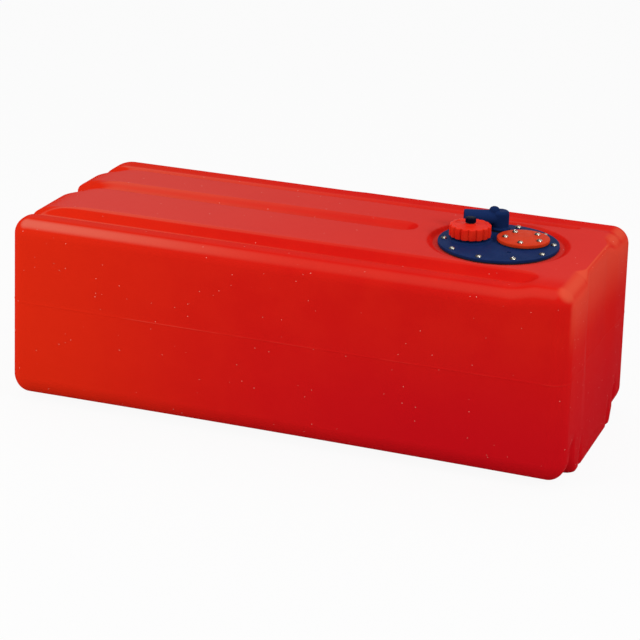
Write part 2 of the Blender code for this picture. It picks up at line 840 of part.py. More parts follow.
red = make_material("tank_red", (0.62, 0.012, 0.008), 0.38)
orange_red = make_material("cap_red", (0.62, 0.045, 0.012), 0.36)
navy = make_material("plate_navy", (0.020, 0.028, 0.110), 0.42)
dark_navy = make_material("knob_navy", (0.006, 0.007, 0.022), 0.40)
rubber = make_material("seal_rubber", (0.015, 0.015, 0.016), 0.75)
steel = make_material("screw_steel", (0.62, 0.60, 0.56), 0.22, 1.0)
aluminium = make_material("ring_aluminium", (0.55, 0.56, 0.57), 0.45, 1.0)

make_tank_shell(red)
make_backing_ring(aluminium)
make_plate_gasket(rubber)
make_top_plate(navy)
make_plate_screws(steel)
make_filler_cap(orange_red)
make_cap_seal(rubber)
make_vent_seal(rubber)
make_vent_knob(dark_navy)
make_vent_elbow(navy)
make_elbow_seal(rubber)
make_sender_gasket(rubber)
make_sender_blank(orange_red)
make_sender_screws(steel)
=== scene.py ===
"""Looks for the fixed boat fuel tank: moulded shell, fittings plate, cap, elbow, screws, floor and light."""

import math

import bmesh
import bpy
import numpy as np
from mathutils import Matrix, Vector


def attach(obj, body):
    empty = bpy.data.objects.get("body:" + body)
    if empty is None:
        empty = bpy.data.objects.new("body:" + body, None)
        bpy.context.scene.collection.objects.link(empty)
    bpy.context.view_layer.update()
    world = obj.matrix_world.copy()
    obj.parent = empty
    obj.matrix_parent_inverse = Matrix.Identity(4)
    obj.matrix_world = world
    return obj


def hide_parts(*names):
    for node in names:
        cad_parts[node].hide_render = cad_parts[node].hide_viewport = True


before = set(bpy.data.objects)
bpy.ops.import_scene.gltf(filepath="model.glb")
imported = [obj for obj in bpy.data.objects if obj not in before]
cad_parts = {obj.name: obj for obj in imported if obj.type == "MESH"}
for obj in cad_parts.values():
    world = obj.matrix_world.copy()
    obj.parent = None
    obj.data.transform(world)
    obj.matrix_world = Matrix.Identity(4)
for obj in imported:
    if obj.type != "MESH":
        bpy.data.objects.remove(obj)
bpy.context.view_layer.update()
scene = bpy.context.scene

# Shell, in metres, with the sizes of the CAD model
tank_length = 0.880
tank_depth = 0.377
tank_height = 0.300
wall = 0.0045
draft_inset = 0.004
edge_radius = 0.027
base_edge_height = 0.032
land_fall_length = 0.108
land_fall_height = 0.027
groove_fall_length = 0.085
groove_fall_height = 0.050
back_ridge_fall = 0.050
panel_edge_radius = 0.011
base_corner_radius = 0.006
half_length = tank_length / 2
half_depth = tank_depth / 2

# Panel in the right end and the notches at its foot
panel_front_y = -0.078
panel_back_y = 0.076
panel_blend = 0.022
panel_front_blend = 0.030
panel_back_blend = 0.034
panel_recess = 0.006
base_land_front_y = -0.112
base_land_back_y = 0.108
notch_y = (-0.080, 0.087)
notch_half = 0.010
notch_depth = 0.004
notch_top = 0.055

# Fittings plate
touch_gap = 0.0003
overrun = 0.004
plate_x = half_length - 0.163
plate_y = -0.0025
plate_radius = 0.090
plate_thickness = 0.004
plate_top_edge = 0.0009
plate_low_edge = 0.0003
gasket_thickness = 0.0015
opening_radius = 0.0745
recess_floor_radius = plate_radius + 0.0055
recess_rim_radius = recess_floor_radius + 0.011
recess_floor_z = tank_height - 0.005
plate_bottom_z = recess_floor_z + gasket_thickness + 2 * touch_gap
plate_top_z = plate_bottom_z + plate_thickness
mark_dx = 0.0273
mark_dy = -0.0412
mark_radius = 0.0031
mark_depth = 0.0012

# Lands, ridges and grooves of the top and the base
front_land_y = -0.108
back_land_y = 0.116
ridge_blend = 0.022
front_ridge_drop = 0.008
back_ridge_drop = 0.0028
base_ridge_drop = 0.0088
base_ridge_bow = 0.002
ridge_end_blend = 0.030
ridge_fade_low = 0.070
ridge_fade_high = 0.018
run_out_low = 0.066
run_out_high = 0.030
outer_groove_end_x = half_length - 0.066
middle_groove_end_x = plate_x - 0.130
groove_margin = 1.55
groove_edge_power = 1.25
groove_sharpness = 0.6
# Each groove: its centre, half width, depth and end, and how sharp its near and far sides are
grooves = (
    (-0.134, 0.018, 0.009, outer_groove_end_x, 2.0, 2.0),
    (0.0175, 0.0235, 0.012, middle_groove_end_x, 2.6, 1.9),
    (0.124, 0.012, 0.007, outer_groove_end_x, 2.6, 1.9),
)

# Recess wall and parting line of the shell
recess_soft_share = 0.45
recess_power = 1.5
recess_under_margin = 0.003
parting_height = 0.1615
bead_height = 0.0004
bead_half = 0.0010
bead_least_side = 0.9
top_least_facing = 0.7

# Stations of the shell's grid: gaps near the edges, and (from, to, gap) between them
least_gap = 0.0004
grid_slack = 0.0001
corner_gaps = [
    0.0012, 0.0012, 0.0014, 0.0014, 0.0016, 0.0018, 0.002, 0.0022, 0.0024, 0.0026, 0.0028, 0.003, 0.0032,
]
foot_gaps = [0.0008, 0.0009, 0.001, 0.0012, 0.0014] + corner_gaps
middle_along = [
    (-0.410, -0.330, 0.005), (-0.330, 0.110, 0.020), (0.110, 0.165, 0.003), (0.165, 0.400, 0.0034),
]
middle_across = [(-0.160, 0.160, 0.0022)]
middle_up = [(0.038, 0.155, 0.012), (0.157, 0.167, 0.0007), (0.172, 0.262, 0.012)]

# Screws; the dome is given by radius and height, from its middle outwards
screw_radius = 0.0021
screw_tip_radius = 0.0015
screw_tip_length = 0.0006
screw_head_radius = 0.0044
screw_head_height = 0.0026
screw_rim_height = 0.0004
screw_rim_fillet = 0.0002
screw_dome = ((0.0016, 0.00258), (0.0030, 0.0021), (0.0039, 0.0014))
cross_length = 0.0062
cross_width = 0.0019
cross_depth = 0.0014
cross_cut_height = 0.0036
cross_taper = 0.55
shade_reach = 0.0036
shade_margin = 0.00025
plate_screw_length = 0.0157
plate_screw_circle = 0.081
plate_screw_count = 10
plate_screw_start_deg = 12.9
plate_slot_deg = 25
plate_slot_step_deg = 47
sender_screw_length = 0.0117
sender_screw_circle = 0.027
sender_screw_deg = (-15.0, 56.0, 133.0, 198.0, 275.0)
sender_slot_deg = 10
sender_slot_step_deg = 61

# Filler neck, cap and vent knob
cap_x = plate_x - 0.044
cap_y = plate_y - 0.0015
neck_bore_radius = 0.0195
neck_radius = 0.0235
neck_height = 0.0163
neck_drop = 0.010
neck_seat_radius = 0.0205
neck_inner_fillet = 0.0008
neck_outer_fillet = 0.0010
neck_foot_fillet = 0.0004
boss_height = 0.0018
boss_top_radius = 0.0318
boss_radius = 0.0340
boss_sink = 0.0005
boss_root_fillet = 0.0012
boss_edge_fillet = 0.0009
cap_base_z = plate_top_z + 0.0045
cap_radius = 0.0312
cap_height = 0.0172
cap_bore_radius = 0.0252
cap_top_thickness = 0.0032
cap_stem_hole_radius = 0.0033
cap_edge_drop = 0.0004
cap_edge_fillet = 0.0016
cap_foot_radius = 0.0300
cap_foot_rise = 0.0006
cap_foot_fillet = 0.0003
cap_lobe_depth = 0.0030
cap_lobe_from = 0.0290
cap_lobe_high = (cap_height - 0.0012, cap_height + 0.0016)
# The dished top from the hub outwards: radius, height over the top, fillet
cap_dish = ((0.0094, 0.0002, 0.0004), (0.0235, -0.0009, 0.0006), (0.0262, 0.0, 0.0012))
hub_radius = 0.0078
hub_height = 0.0022
hub_fillet = 0.0010
knob_gap = 0.0014
knob_radius = 0.0082
knob_height = 0.0074
knob_hollow = 0.0002
knob_ring_drop = 0.0001
knob_edge_drop = 0.0006
knob_edge_fillet = 0.0018
knob_low_fillet = 0.0005
knob_stem_radius = 0.0030
knob_foot_radius = 0.0046
knob_foot_low = 0.0098
knob_foot_high = 0.0110
knob_lobe_depth = 0.0011
knob_lobe_from = 0.0062

# Sender blank
sender_x = plate_x + 0.0328
sender_y = plate_y + 0.017
sender_radius = 0.0392
sender_thickness = 0.0047
sender_top_fillet = 0.0011
sender_low_fillet = 0.0004
sender_gasket_thickness = 0.0010
sender_hole_radius = 0.0195
sender_top_z = plate_top_z + sender_gasket_thickness + sender_thickness + 2 * touch_gap

# Vent elbow
elbow_x = plate_x - 0.015
elbow_y = plate_y + 0.0585
elbow_seat_z = plate_top_z + 0.0016
elbow_turn_deg = 200
elbow_radius = 0.0130
elbow_height = 0.0287
elbow_shoulder = 0.0050
collar_radius = 0.0160
collar_height = 0.0030
collar_rise = 0.0004
collar_slant = 0.0002
collar_root_fillet = 0.0010
collar_edge_fillet = 0.0008
tail_radius = 0.0100
tail_hole_radius = 0.0103
tail_drop = 0.0085
tube_height = 0.0172
tube_radius = 0.0115
tube_length = 0.055
tube_fillet = 0.0010
dome_radius = 0.008
dome_height = 0.006
dome_foot = 0.0115
dome_offset = 0.0097
dome_first_angle = 0.15
elbow_bore_radius = 0.0082
elbow_bore_length = 0.060
down_bore_drop = 0.013
down_bore_rise = 0.0075
elbow_voxel = 0.00075


# Materials. A ramp's last four values are where it starts and ends and what it gives at both.

cloud_ramp = (0.35, 0.65, 0.0, 1.0)
mottle_edges = (0.3, 0.7)
mottle_per_patch = 6
wave_scale = 22.0

# Tints of the shell, all painted light and shade: a colour, then its zones, whose ramps are multiplied. A
# zone is measured along, across or up the tank, in metres, or by how far the surface faces a direction.
shell_painted_light = (
    # Painted light: orange towards the left end, where the light is brighter
    ((0.640, 0.0230, 0.0050), (("along", -0.46, 0.05, 0.75, 0.0),)),
    # Painted shade: crimson and darker low on the right
    ((0.530, 0.0050, 0.0090), (("along", -0.40, 0.30, 0.0, 1.0), ("up", 0.04, 0.28, 1.0, 0.1))),
    # Painted sheen, a reflection of the pale sky, on the level lands, but hardly on the front and back
    # ridges
    ((0.580, 0.0640, 0.0540), (
        ((0.0, 0.0, 1.0), 0.93, 1.0, 0.0, 1.0), ("along", -0.44, 0.30, 0.85, 0.42),
        ("across", -0.160, -0.110, 0.25, 1.0), ("across", 0.122, 0.142, 1.0, 0.1),
    )),
    # Painted highlight, pale on the corner above the right end
    ((0.690, 0.0950, 0.0480), (
        ((0.56, -0.30, 0.77), 0.80, 0.98, 0.0, 0.7), ("along", 0.38, 0.41, 0.0, 1.0),
    )),
    # Sheen along the rounded front edge, strongest at the left
    ((0.640, 0.1250, 0.0850), (
        ((-0.10, -0.66, 0.745), 0.92, 0.995, 0.0, 1.0), ("along", -0.44, 0.05, 0.80, 0.14),
        ("across", -0.160, -0.150, 1.0, 0.0),
    )),
    # Sheen on the sides of the grooves that face the front
    ((0.600, 0.0950, 0.0600), (
        ((0.0, -0.40, 0.917), 0.950, 0.995, 0.0, 1.0), ("along", -0.44, 0.20, 0.60, 0.10),
        ("across", -0.150, -0.140, 0.0, 1.0),
    )),
    # Painted light, pale high on the right end
    ((0.700, 0.0800, 0.0420), (((1.0, 0.0, 0.0), 0.80, 0.97, 0.0, 1.0), ("up", 0.19, 0.29, 0.0, 0.6))),
)
parting_color = (0.700, 0.0700, 0.0450)
parting_width_ramp = (0.0002, 0.0008, 1.0, 0.0)
parting_patch_scale = 9.0
parting_patch_ramp = (0.48, 0.66, 0.0, 0.45)
parting_along_ramp = (-0.15, 0.05, 1.0, 0.35)

# Dust: one dot in some of the cells of a random pattern
dust_color = (0.92, 0.66, 0.56)
dust_scale = 100.0
dust_dot_ramp = (0.030, 0.062, 1.0, 0.0)
dust_choice_ramp = (0.62, 0.67, 0.0, 0.95)

# Painted reflection: the side of a screw head that faces the left end is darkened, as if it mirrored a dark
# room
head_shade_color = (0.030, 0.028, 0.024)
head_shade_direction = (-0.93, -0.25, 0.27)
head_shade_ramp = (0.30, 0.42, 0.0, 0.92)


def node(tree, kind, **values):
    made = tree.nodes.new(kind)
    for name, value in values.items():
        if name in made.inputs:
            made.inputs[name].default_value = value
        else:
            setattr(made, name, value)
    return made


def noise(tree, place, scale, detail=3.0, roughness=0.55):
    made = node(tree, "ShaderNodeTexNoise", Scale=scale, Detail=detail, Roughness=roughness)
    tree.links.new(place, made.inputs["Vector"])
    return made.outputs["Fac"]


def ramp(tree, value, low, high, low_value, high_value):
    made = node(tree, "ShaderNodeMapRange")
    made.interpolation_type = "SMOOTHSTEP"
    made.inputs["From Min"].default_value = low
    made.inputs["From Max"].default_value = high
    made.inputs["To Min"].default_value = low_value
    made.inputs["To Max"].default_value = high_value
    tree.links.new(value, made.inputs["Value"])
    return made.outputs["Result"]


def math_node(tree, operation, *inputs):
    """A math node whose inputs are sockets or plain numbers."""
    made = node(tree, "ShaderNodeMath", operation=operation)
    for socket, value in zip(made.inputs, inputs):
        if isinstance(value, float):
            socket.default_value = value
        else:
            tree.links.new(value, socket)
    return made.outputs[0]


def toward(tree, direction):
    """How far the surface faces a direction."""
    made = node(tree, "ShaderNodeVectorMath", operation="DOT_PRODUCT")
    tree.links.new(node(tree, "ShaderNodeNewGeometry").outputs["Normal"], made.inputs[0])
    made.inputs[1].default_value = direction
    return made.outputs["Value"]


def tint(tree, share, first, second):
    made = node(tree, "ShaderNodeMix", data_type="RGBA")
    for socket, color in ((made.inputs[6], first), (made.inputs[7], second)):
        if isinstance(color, tuple):
            socket.default_value = (*color, 1.0)
        else:
            tree.links.new(color, socket)
    tree.links.new(share, made.inputs[0])
    return made.outputs[2]


def parting_line(tree, place, along, up, base):
    """A pale line at the parting height, broken into patches."""
    away = math_node(tree, "ABSOLUTE", math_node(tree, "SUBTRACT", up, parting_height))
    patches = ramp(tree, noise(tree, place, parting_patch_scale), *parting_patch_ramp)
    line = math_node(tree, "MULTIPLY", ramp(tree, away, *parting_width_ramp), patches)
    line = math_node(tree, "MULTIPLY", line, ramp(tree, along, *parting_along_ramp))
    return tint(tree, line, base, parting_color)


def dust(tree, place, base):
    cells = node(tree, "ShaderNodeTexVoronoi", Scale=dust_scale)
    tree.links.new(place, cells.inputs["Vector"])
    choice = node(tree, "ShaderNodeSeparateColor")
    tree.links.new(cells.outputs["Color"], choice.inputs[0])
    dots = ramp(tree, cells.outputs["Distance"], *dust_dot_ramp)
    dots = math_node(tree, "MULTIPLY", dots, ramp(tree, choice.outputs[0], *dust_choice_ramp))
    return tint(tree, dots, base, dust_color)


def shell_painted_light_and_dust(tree, place, base):
    """The shell's tints of painted light and shade, then its parting line and dust."""
    split = node(tree, "ShaderNodeSeparateXYZ")
    tree.links.new(place, split.inputs[0])
    places = {"along": split.outputs["X"], "across": split.outputs["Y"], "up": split.outputs["Z"]}
    for color, zones in shell_painted_light:
        share = None
        for measure, *span in zones:
            value = places[measure] if isinstance(measure, str) else toward(tree, measure)
            zone = ramp(tree, value, *span)
            share = zone if share is None else math_node(tree, "MULTIPLY", share, zone)
        base = tint(tree, share, base, color)
    base = parting_line(tree, place, places["along"], places["up"], base)
    return dust(tree, place, base)


# Painted reflection: darkens the side of a screw head that faces the left end
def shaded_head(tree, place, base):
    share = ramp(tree, toward(tree, head_shade_direction), *head_shade_ramp)
    return tint(tree, share, base, head_shade_color)


def material(name, color, other, roughness, specular=0.5, metallic=0.0, grain=900.0, grain_depth=0.00002,
             wave=0.0, patch=14.0, rough_swing=0.05, shade=None):
    """A plain or metal surface in soft clouds of two colours, with uneven roughness and a fine grain."""
    made = bpy.data.materials.new(name)
    made.use_nodes = True
    tree = made.node_tree
    shader = tree.nodes["Principled BSDF"]
    shader.inputs["Metallic"].default_value = metallic
    shader.inputs["Specular IOR Level"].default_value = specular
    place = node(tree, "ShaderNodeTexCoord").outputs["Object"]
    base = tint(tree, ramp(tree, noise(tree, place, patch), *cloud_ramp), color, other)
    if shade:
        base = shade(tree, place, base)
    tree.links.new(base, shader.inputs["Base Color"])
    mottle = noise(tree, place, patch * mottle_per_patch, 4.0)
    rough = ramp(tree, mottle, *mottle_edges, roughness - rough_swing, roughness + rough_swing)
    tree.links.new(rough, shader.inputs["Roughness"])
    bump = node(tree, "ShaderNodeBump", Strength=1.0, Distance=grain_depth)
    tree.links.new(noise(tree, place, grain, 2.0), bump.inputs["Height"])
    if wave:
        wide = node(tree, "ShaderNodeBump", Strength=1.0, Distance=wave)
        tree.links.new(noise(tree, place, wave_scale, 1.0), wide.inputs["Height"])
        tree.links.new(wide.outputs["Normal"], bump.inputs["Normal"])
    tree.links.new(bump.outputs["Normal"], shader.inputs["Normal"])
    return made


# The shell's colour carries painted light and shade, besides its parting line and dust
red_shell = material(
    "moulded_red", (0.590, 0.0095, 0.0060), (0.615, 0.0120, 0.0065), 0.42, specular=0.0008, grain=620.0,
    wave=0.0004, rough_swing=0.03, shade=shell_painted_light_and_dust,
)
red_cap = material(
    "cap_orange_red", (0.690, 0.0160, 0.0070), (0.730, 0.0240, 0.0090), 0.40, specular=0.03, grain=1500.0,
    patch=60.0,
)
red_blank = material(
    "blank_orange_red", (0.540, 0.0320, 0.0070), (0.580, 0.0390, 0.0090), 0.42, specular=0.02, grain=1500.0,
    patch=60.0,
)
navy_plate = material(
    "plate_navy_satin", (0.0058, 0.0185, 0.0800), (0.0078, 0.0225, 0.0930), 0.44, specular=0.014,
    grain=1800.0, grain_depth=0.00003, patch=45.0,
)
navy_knob = material(
    "knob_near_black", (0.0018, 0.0022, 0.0100), (0.0030, 0.0036, 0.0150), 0.36, specular=0.02, grain=1500.0,
    patch=80.0,
)
rubber = material(
    "black_rubber", (0.012, 0.012, 0.013), (0.018, 0.018, 0.018), 0.70, specular=0.25, patch=70.0,
)
steel = material(
    "stainless_screw", (0.52, 0.49, 0.41), (0.64, 0.60, 0.52), 0.20, metallic=1.0, patch=300.0, grain=2600.0,
    grain_depth=0.00001, shade=shaded_head,
)
# Painted shade: a near-black material for the faces sunk in a screw's cross recess, where shade falls
recess_painted_shade = material(
    "screw_recess_shade", (0.020, 0.019, 0.018), (0.035, 0.033, 0.030), 0.55, metallic=0.6, patch=300.0,
)
aluminium = material(
    "sheet_aluminium", (0.52, 0.53, 0.54), (0.58, 0.59, 0.60), 0.40, metallic=1.0, patch=90.0,
)


# Mesh helpers

axis_slack = 1e-7


def finish_mesh(mesh, angle_deg=32.0):
    """Outward normals, and smooth shading up to an angle."""
    shape = bmesh.new()
    shape.from_mesh(mesh)
    bmesh.ops.recalc_face_normals(shape, faces=shape.faces)
    for face in shape.faces:
        face.smooth = True
    limit = math.radians(angle_deg)
    for edge in shape.edges:
        edge.smooth = len(edge.link_faces) == 2 and edge.calc_face_angle(0.0) < limit
    shape.to_mesh(mesh)
    shape.free()
    return mesh


def plain_object(name, mesh, location=(0.0, 0.0, 0.0), rotation=(0.0, 0.0, 0.0)):
    thing = bpy.data.objects.new(name, mesh)
    scene.collection.objects.link(thing)
    thing.location = location
    thing.rotation_euler = rotation
    return thing


def add_piece(name, mesh, look, body, replaced=(), location=(0.0, 0.0, 0.0), turn=0.0):
    piece = plain_object(name, mesh, location, (0.0, 0.0, turn))
    if not mesh.materials:
        mesh.materials.append(look)
    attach(piece, body)
    if replaced:
        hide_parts(*replaced)


def rounded(corners, steps=4):
    """An outline from (radius, height, fillet) corners, with each fillet drawn as an arc."""
    found = []
    count = len(corners)
    for i, (r, z, fillet) in enumerate(corners):
        point = np.array((r, z))
        if fillet == 0 or i in (0, count - 1):
            found.append(point)
            continue
        before = np.array(corners[i - 1][:2]) - point
        after = np.array(corners[i + 1][:2]) - point
        before /= np.linalg.norm(before)
        after /= np.linalg.norm(after)
        half = math.acos(np.clip(before @ after, -1.0, 1.0)) / 2
        start = point + before * fillet / math.tan(half)
        middle = point + (before + after) / np.linalg.norm(before + after) * fillet / math.sin(half)
        sweep = math.pi - 2 * half
        x, y = start - middle
        sign = 1.0 if before[0] * after[1] - before[1] * after[0] < 0 else -1.0
        for k in range(steps + 1):
            a = sign * sweep * k / steps
            turned = (x * math.cos(a) - y * math.sin(a), x * math.sin(a) + y * math.cos(a))
            found.append(middle + np.array(turned))
    return [(max(float(p[0]), 0.0), float(p[1])) for p in found]


def lathe(name, outline, segments, closed=False, lobes=0, lobe_depth=0.0, lobe_from=0.0, lobe_power=1.0,
          lobe_high=None, angle_deg=32.0):
    """A turned mesh. Points further out than lobe_from are drawn in between the lobes, which fade from the
    first to the second height of lobe_high."""
    points = []
    rings = []
    for r, z in outline:
        if r < axis_slack:
            rings.append([len(points)] * segments)
            points.append((0.0, 0.0, z))
            continue
        ring = []
        for k in range(segments):
            a = math.tau * k / segments
            radius = r
            if lobes and r > lobe_from:
                share = 1.0
                if lobe_high is not None:
                    share = min(max((lobe_high[1] - z) / (lobe_high[1] - lobe_high[0]), 0.0), 1.0)
                radius -= lobe_depth * share * (1 - abs(math.cos(lobes * a / 2))) ** lobe_power
            ring.append(len(points))
            points.append((radius * math.cos(a), radius * math.sin(a), z))
        rings.append(ring)
    faces = []
    last = len(rings) if closed else len(rings) - 1
    for i in range(last):
        low, high = rings[i], rings[(i + 1) % len(rings)]
        for k in range(segments):
            n = (k + 1) % segments
            face = [low[k], low[n], high[n], high[k]]
            kept = [v for j, v in enumerate(face) if v not in face[:j]]
            if len(kept) > 2:
                faces.append(kept)
    mesh = bpy.data.meshes.new(name)
    mesh.from_pydata(points, [], faces)
    return finish_mesh(mesh, angle_deg)


def turned_object(name, outline, segments, location=(0.0, 0.0, 0.0), rotation=(0.0, 0.0, 0.0)):
    return plain_object(name, lathe(name, outline, segments), location, rotation)


def cylinder_at(name, x, y, radius, low, high, segments=48):
    outline = [(0.0, high), (radius, high), (radius, low), (0.0, low)]
    return turned_object(name, outline, segments, (x, y, 0.0))


def combine(name, base, steps):
    """The mesh that is left of base after (object, operation) steps; the helpers are removed."""
    for i, (other, operation) in enumerate(steps):
        cut = base.modifiers.new(f"step_{i}", "BOOLEAN")
        cut.operation = operation
        cut.solver = "EXACT"
        cut.object = other
    bpy.context.view_layer.update()
    graph = bpy.context.evaluated_depsgraph_get()
    mesh = bpy.data.meshes.new_from_object(base.evaluated_get(graph))
    mesh.name = name
    mesh.transform(base.matrix_world)
    mesh.materials.clear()
    for thing in [base] + [other for other, operation in steps]:
        bpy.data.objects.remove(thing, do_unlink=True)
    return mesh


# Shell: the CAD's moulded form at finer stations, with the recess, parting line and sharper groove edges


def smooth_step(low, high, value):
    share = np.clip((value - low) / (high - low), 0.0, 1.0)
    return share * share * (3 - 2 * share)


def mix(first, second, share):
    return first + (second - first) * share


def on_lands(y):
    front = smooth_step(front_land_y - ridge_blend, front_land_y, y)
    back = smooth_step(-back_land_y - ridge_blend, -back_land_y, -y)
    return front * back


def on_panel(y, front_blend=panel_blend, back_blend=panel_blend):
    front = smooth_step(panel_front_y - front_blend / 2, panel_front_y + front_blend / 2, y)
    back = smooth_step(-panel_back_y - back_blend, -panel_back_y + back_blend, -y)
    return front * back


def on_base_land(y):
    front = smooth_step(base_land_front_y - panel_blend / 2, base_land_front_y + panel_blend / 2, y)
    back = smooth_step(-base_land_back_y - panel_blend / 2, -base_land_back_y + panel_blend / 2, -y)
    return front * back


def in_groove(y):
    share = np.ones_like(y)
    for centre_y, half, *others in grooves:
        share = np.minimum(share, smooth_step(half, half * groove_margin, np.abs(y - centre_y)))
    return 1 - share


def groove_depth(x, y, on_base):
    depth = np.zeros_like(x)
    for centre_y, half, full, end_x, near_power, far_power in grooves:
        end = outer_groove_end_x if on_base else end_x
        along = np.abs(x) if on_base and end_x == middle_groove_end_x else x
        past = np.maximum(along - (end - half), 0.0)
        away = np.clip(np.hypot(past, y - centre_y) / half, 0.0, 1.0)
        soft = 0.5 + 0.5 * np.cos(math.pi * away)
        if on_base:
            depth += full * soft
            continue
        power = np.where(y < centre_y, near_power, far_power)
        sharp = (1 - away ** power) ** groove_edge_power
        depth += full * mix(soft, sharp, groove_sharpness)
    return depth


def corner_radii(x, y, z):
    """The length and height of the rounding at each point."""
    lands = on_lands(y)
    grooved = in_groove(y)
    ridge = np.where(y < 0, edge_radius, back_ridge_fall)
    left_length = mix(ridge, mix(land_fall_length, groove_fall_length, grooved), lands)
    left_height = mix(ridge, mix(land_fall_height, groove_fall_height, grooved), lands)
    right = mix(edge_radius, panel_edge_radius, on_panel(y))
    tight = on_base_land(y) * (x > 0)
    base_length = mix(edge_radius, base_corner_radius, tight)
    base_height = mix(base_edge_height, base_corner_radius, tight)
    upper = z > tank_height / 2
    length = np.where(upper, np.where(x < 0, left_length, right), base_length)
    height = np.where(upper, np.where(x < 0, left_height, right), base_height)
    return length, height


def plate_distance(points):
    return np.hypot(points[:, 0] - plate_x, points[:, 1] - plate_y)


def recess(points, on_top):
    """Heights of the points, lowered round the fittings plate to the recess floor."""
    up = (plate_distance(points) - recess_floor_radius) / (recess_rim_radius - recess_floor_radius)
    up = np.clip(up, 0.0, 1.0)
    curve = recess_soft_share * smooth_step(0.0, 1.0, up) + (1 - recess_soft_share) * up ** recess_power
    share = np.where(up < 1.0, curve, 1.0)
    return np.where(on_top, mix(recess_floor_z, points[:, 2], share), points[:, 2])


def shell_surface(points, inset):
    """Moves the points of a plain box onto the moulded form, or to its inner side with an inset."""
    x, y, z = points.T
    radius_x, radius_z = corner_radii(x, y, z)
    radii = np.stack([radius_x, np.full_like(x, edge_radius), radius_z], 1)
    low = np.array([-half_length, -half_depth, 0.0]) + radii
    high = np.array([half_length, half_depth, tank_height]) - radii
    near = np.clip(points, low, high)
    away = (points - near) / radii
    away /= np.linalg.norm(away, axis=1)[:, None]
    normal = away / radii
    normal /= np.linalg.norm(normal, axis=1)[:, None]
    moved = near + away * radii - normal * inset
    from_top = tank_height - moved[:, 2]
    top_share = smooth_step(run_out_low, run_out_high, from_top)
    base_share = smooth_step(run_out_low, run_out_high, moved[:, 2])
    top_ridge = smooth_step(ridge_fade_low, ridge_fade_high, from_top)
    base_ridge = smooth_step(ridge_fade_low, ridge_fade_high, moved[:, 2])
    depth = groove_depth(x, y, False) * top_share + groove_depth(-x, y, True) * base_share
    moved -= normal * depth[:, None]
    end = smooth_step(outer_groove_end_x + ridge_end_blend / 2, outer_groove_end_x - ridge_end_blend, x)
    drop = np.where(y < 0, front_ridge_drop * end, back_ridge_drop) * (1 - on_lands(y))
    moved[:, 2] -= drop * top_ridge
    bow = base_ridge_bow * (1 - (x / half_length) ** 2)
    moved[:, 2] += (base_ridge_drop + bow) * (1 - on_lands(y)) * base_ridge
    outward = np.maximum(normal[:, 0], 0.0) * (x > 0)
    upper = smooth_step(0.0, tank_height, moved[:, 2])
    moved[:, 0] -= panel_recess * on_panel(y, panel_front_blend, panel_back_blend) * upper * outward
    dent = np.maximum(*[np.maximum(1 - np.abs(y - at) / notch_half, 0.0) for at in notch_y])
    moved[:, 0] -= notch_depth * dent * smooth_step(notch_top, 0.0, moved[:, 2]) * outward
    rise = moved[:, 2] / tank_height
    moved[:, 0] *= 1 - draft_inset / half_length * rise
    moved[:, 1] *= 1 - draft_inset / half_depth * rise
    on_top = z > tank_height - grid_slack
    if inset == 0:
        side = np.hypot(normal[:, 0], normal[:, 1])
        bead = bead_height * np.exp(-(((moved[:, 2] - parting_height) / bead_half) ** 2))
        moved[:, :2] += normal[:, :2] * (bead * (side > bead_least_side))[:, None]
        moved[:, 2] = recess(moved, on_top & (normal[:, 2] > top_least_facing))
    else:
        under = on_top & (plate_distance(moved) < recess_rim_radius + recess_under_margin)
        moved[:, 2] = np.where(under, np.minimum(moved[:, 2], recess_floor_z - wall), moved[:, 2])
    return moved


def near_ends(low, high, gaps_low, gaps_high, middle):
    """Stations from low to high: close near both ends, with a list of (from, to, gap) between."""
    found = [low, high]
    found += list(low + np.cumsum(gaps_low))
    found += list(high - np.cumsum(gaps_high))
    for start, stop, gap in middle:
        found += list(np.arange(start, stop, gap))
    found = sorted(found)
    kept = [found[0]]
    for station in found[1:]:
        if station - kept[-1] > least_gap:
            kept.append(station)
    kept[-1] = high
    return np.array(kept)


def grid_box(xs, ys, zs):
    """Points and faces of a closed box whose faces are cut at the stations."""
    index = {}
    points = []
    faces = []

    def at(i, j, k):
        key = (i, j, k)
        if key not in index:
            index[key] = len(points)
            points.append((xs[i], ys[j], zs[k]))
        return index[key]

    nx, ny, nz = len(xs) - 1, len(ys) - 1, len(zs) - 1
    for i in range(nx):
        for j in range(ny):
            faces.append((at(i, j, 0), at(i, j + 1, 0), at(i + 1, j + 1, 0), at(i + 1, j, 0)))
            faces.append((at(i, j, nz), at(i + 1, j, nz), at(i + 1, j + 1, nz), at(i, j + 1, nz)))
    for i in range(nx):
        for k in range(nz):
            faces.append((at(i, 0, k), at(i + 1, 0, k), at(i + 1, 0, k + 1), at(i, 0, k + 1)))
            faces.append((at(i, ny, k), at(i, ny, k + 1), at(i + 1, ny, k + 1), at(i + 1, ny, k)))
    for j in range(ny):
        for k in range(nz):
            faces.append((at(0, j, k), at(0, j, k + 1), at(0, j + 1, k + 1), at(0, j + 1, k)))
            faces.append((at(nx, j, k), at(nx, j + 1, k), at(nx, j + 1, k + 1), at(nx, j, k + 1)))
    return np.array(points), np.array(faces)


